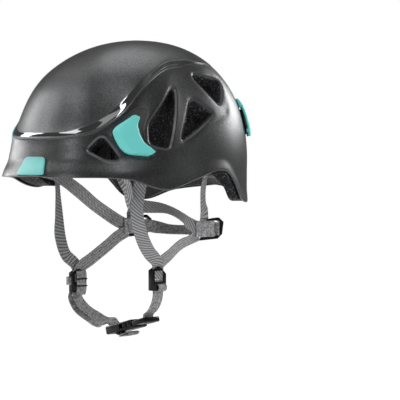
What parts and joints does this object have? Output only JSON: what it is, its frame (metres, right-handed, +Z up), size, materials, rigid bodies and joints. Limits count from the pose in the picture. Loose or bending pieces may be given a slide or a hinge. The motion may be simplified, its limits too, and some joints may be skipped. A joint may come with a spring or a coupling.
{
  "type": "climbing helmet",
  "caption": "Climbing helmet with a vented hard shell, raised crown panel, foam liner, headlamp clips and a webbing chin harness with a side-release buckle.",
  "frame": {"origin": "centre of the head opening, on the level of the head cavity's mouth, where the head holds the helmet up", "axes": "+Z up towards the crown, front of the helmet towards -Y, the wearer's left towards +X"},
  "size_m": [0.2094, 0.2532, 0.2998],
  "materials": {
    "shell": "satin pearl moulding",
    "teal": "smooth moulding",
    "foam": "moulded bead foam",
    "pad": "brushed knit over foam",
    "webbing": "twill webbing",
    "black": "satin moulding"
  },
  "bodies": {
    "helmet": {"outer_shell": "shell", "foam_liner": "foam", "brow_badge": "teal", "brow_pad": "pad", "nape_pad": "pad", "crown_pad": "pad", "anchor_front_left": "black", "anchor_front_right": "black", "anchor_rear_left": "black", "anchor_rear_right": "black", "front_strap_left": "webbing", "front_strap_right": "webbing", "rear_strap_left": "webbing", "rear_strap_right": "webbing", "headband_strap_left": "webbing", "headband_strap_right": "webbing", "hanger_strap_left": "webbing", "hanger_strap_right": "webbing", "nape_loop_left": "webbing", "nape_loop_right": "webbing", "nape_frame_left": "black", "nape_frame_right": "black", "nape_strap": "webbing", "buckle_socket": "black", "chin_strap_left": "webbing", "chin_strap_right": "webbing", "strap_tail": "webbing"},
    "lamp_clip_front_left": {"lamp_clip_front_left": "teal"},
    "lamp_clip_front_right": {"lamp_clip_front_right": "teal"},
    "lamp_clip_rear_left": {"lamp_clip_rear_left": "teal"},
    "lamp_clip_rear_right": {"lamp_clip_rear_right": "teal"},
    "slider_left": {"slider_left": "black"},
    "slider_right": {"slider_right": "black"},
    "buckle_tongue": {"buckle_tongue": "black"},
    "buckle_prong_front": {"buckle_prong_front": "black"},
    "buckle_prong_rear": {"buckle_prong_rear": "black"}
  },
  "joints": [
    {"name": "front_clip_left_lift", "type": "hinge", "parent": "helmet", "child": "lamp_clip_front_left", "pos_m": [0.07974, -0.07688, 0.02941], "axis": [0.3723, 0.2538, -0.8927], "range_deg": [0, 8], "stiffness_Nm_per_rad": 0.4, "springref_deg": -2.86},
    {"name": "front_clip_right_lift", "type": "hinge", "parent": "helmet", "child": "lamp_clip_front_right", "pos_m": [-0.07974, -0.07688, 0.02941], "axis": [0.3723, -0.2538, 0.8927], "range_deg": [0, 8], "stiffness_Nm_per_rad": 0.4, "springref_deg": -2.86},
    {"name": "rear_clip_left_lift", "type": "hinge", "parent": "helmet", "child": "lamp_clip_rear_left", "pos_m": [0.05915, 0.10187, 0.073], "axis": [0.7546, -0.6562, 0], "range_deg": [0, 10], "stiffness_Nm_per_rad": 0.4, "springref_deg": -2.86},
    {"name": "rear_clip_right_lift", "type": "hinge", "parent": "helmet", "child": "lamp_clip_rear_right", "pos_m": [-0.05915, 0.10187, 0.073], "axis": [0.7546, 0.6562, 0], "range_deg": [0, 10], "stiffness_Nm_per_rad": 0.4, "springref_deg": -2.86},
    {"name": "slider_left_travel", "type": "slide", "parent": "helmet", "child": "slider_left", "axis": [0, 0, -1], "range_m": [0, 0.01], "deforming": ["front_strap_left", "rear_strap_left", "chin_strap_left"]},
    {"name": "slider_right_travel", "type": "slide", "parent": "helmet", "child": "slider_right", "axis": [0, 0, -1], "range_m": [0, 0.01], "deforming": ["front_strap_right", "rear_strap_right", "chin_strap_right"]},
    {"name": "buckle_release", "type": "slide", "parent": "helmet", "child": "buckle_tongue", "axis": [0.9681, 0, 0.2504], "range_m": [0, 0.028], "deforming": ["buckle_prong_front", "buckle_prong_rear"]},
    {"name": "prong_front_squeeze", "type": "hinge", "parent": "buckle_tongue", "child": "buckle_prong_front", "pos_m": [0.03426, -0.0157, -0.15262], "axis": [0.2504, 0, -0.9681], "range_deg": [0, 8.5], "stiffness_Nm_per_rad": 0.05},
    {"name": "prong_rear_squeeze", "type": "hinge", "parent": "buckle_tongue", "child": "buckle_prong_rear", "pos_m": [0.03426, -0.0023, -0.15262], "axis": [-0.2504, 0, 0.9681], "range_deg": [0, 8.5], "stiffness_Nm_per_rad": 0.05}
  ],
  "couplings": [
    {"joint": "prong_rear_squeeze", "follows": "prong_front_squeeze", "ratio": 1}
  ]
}
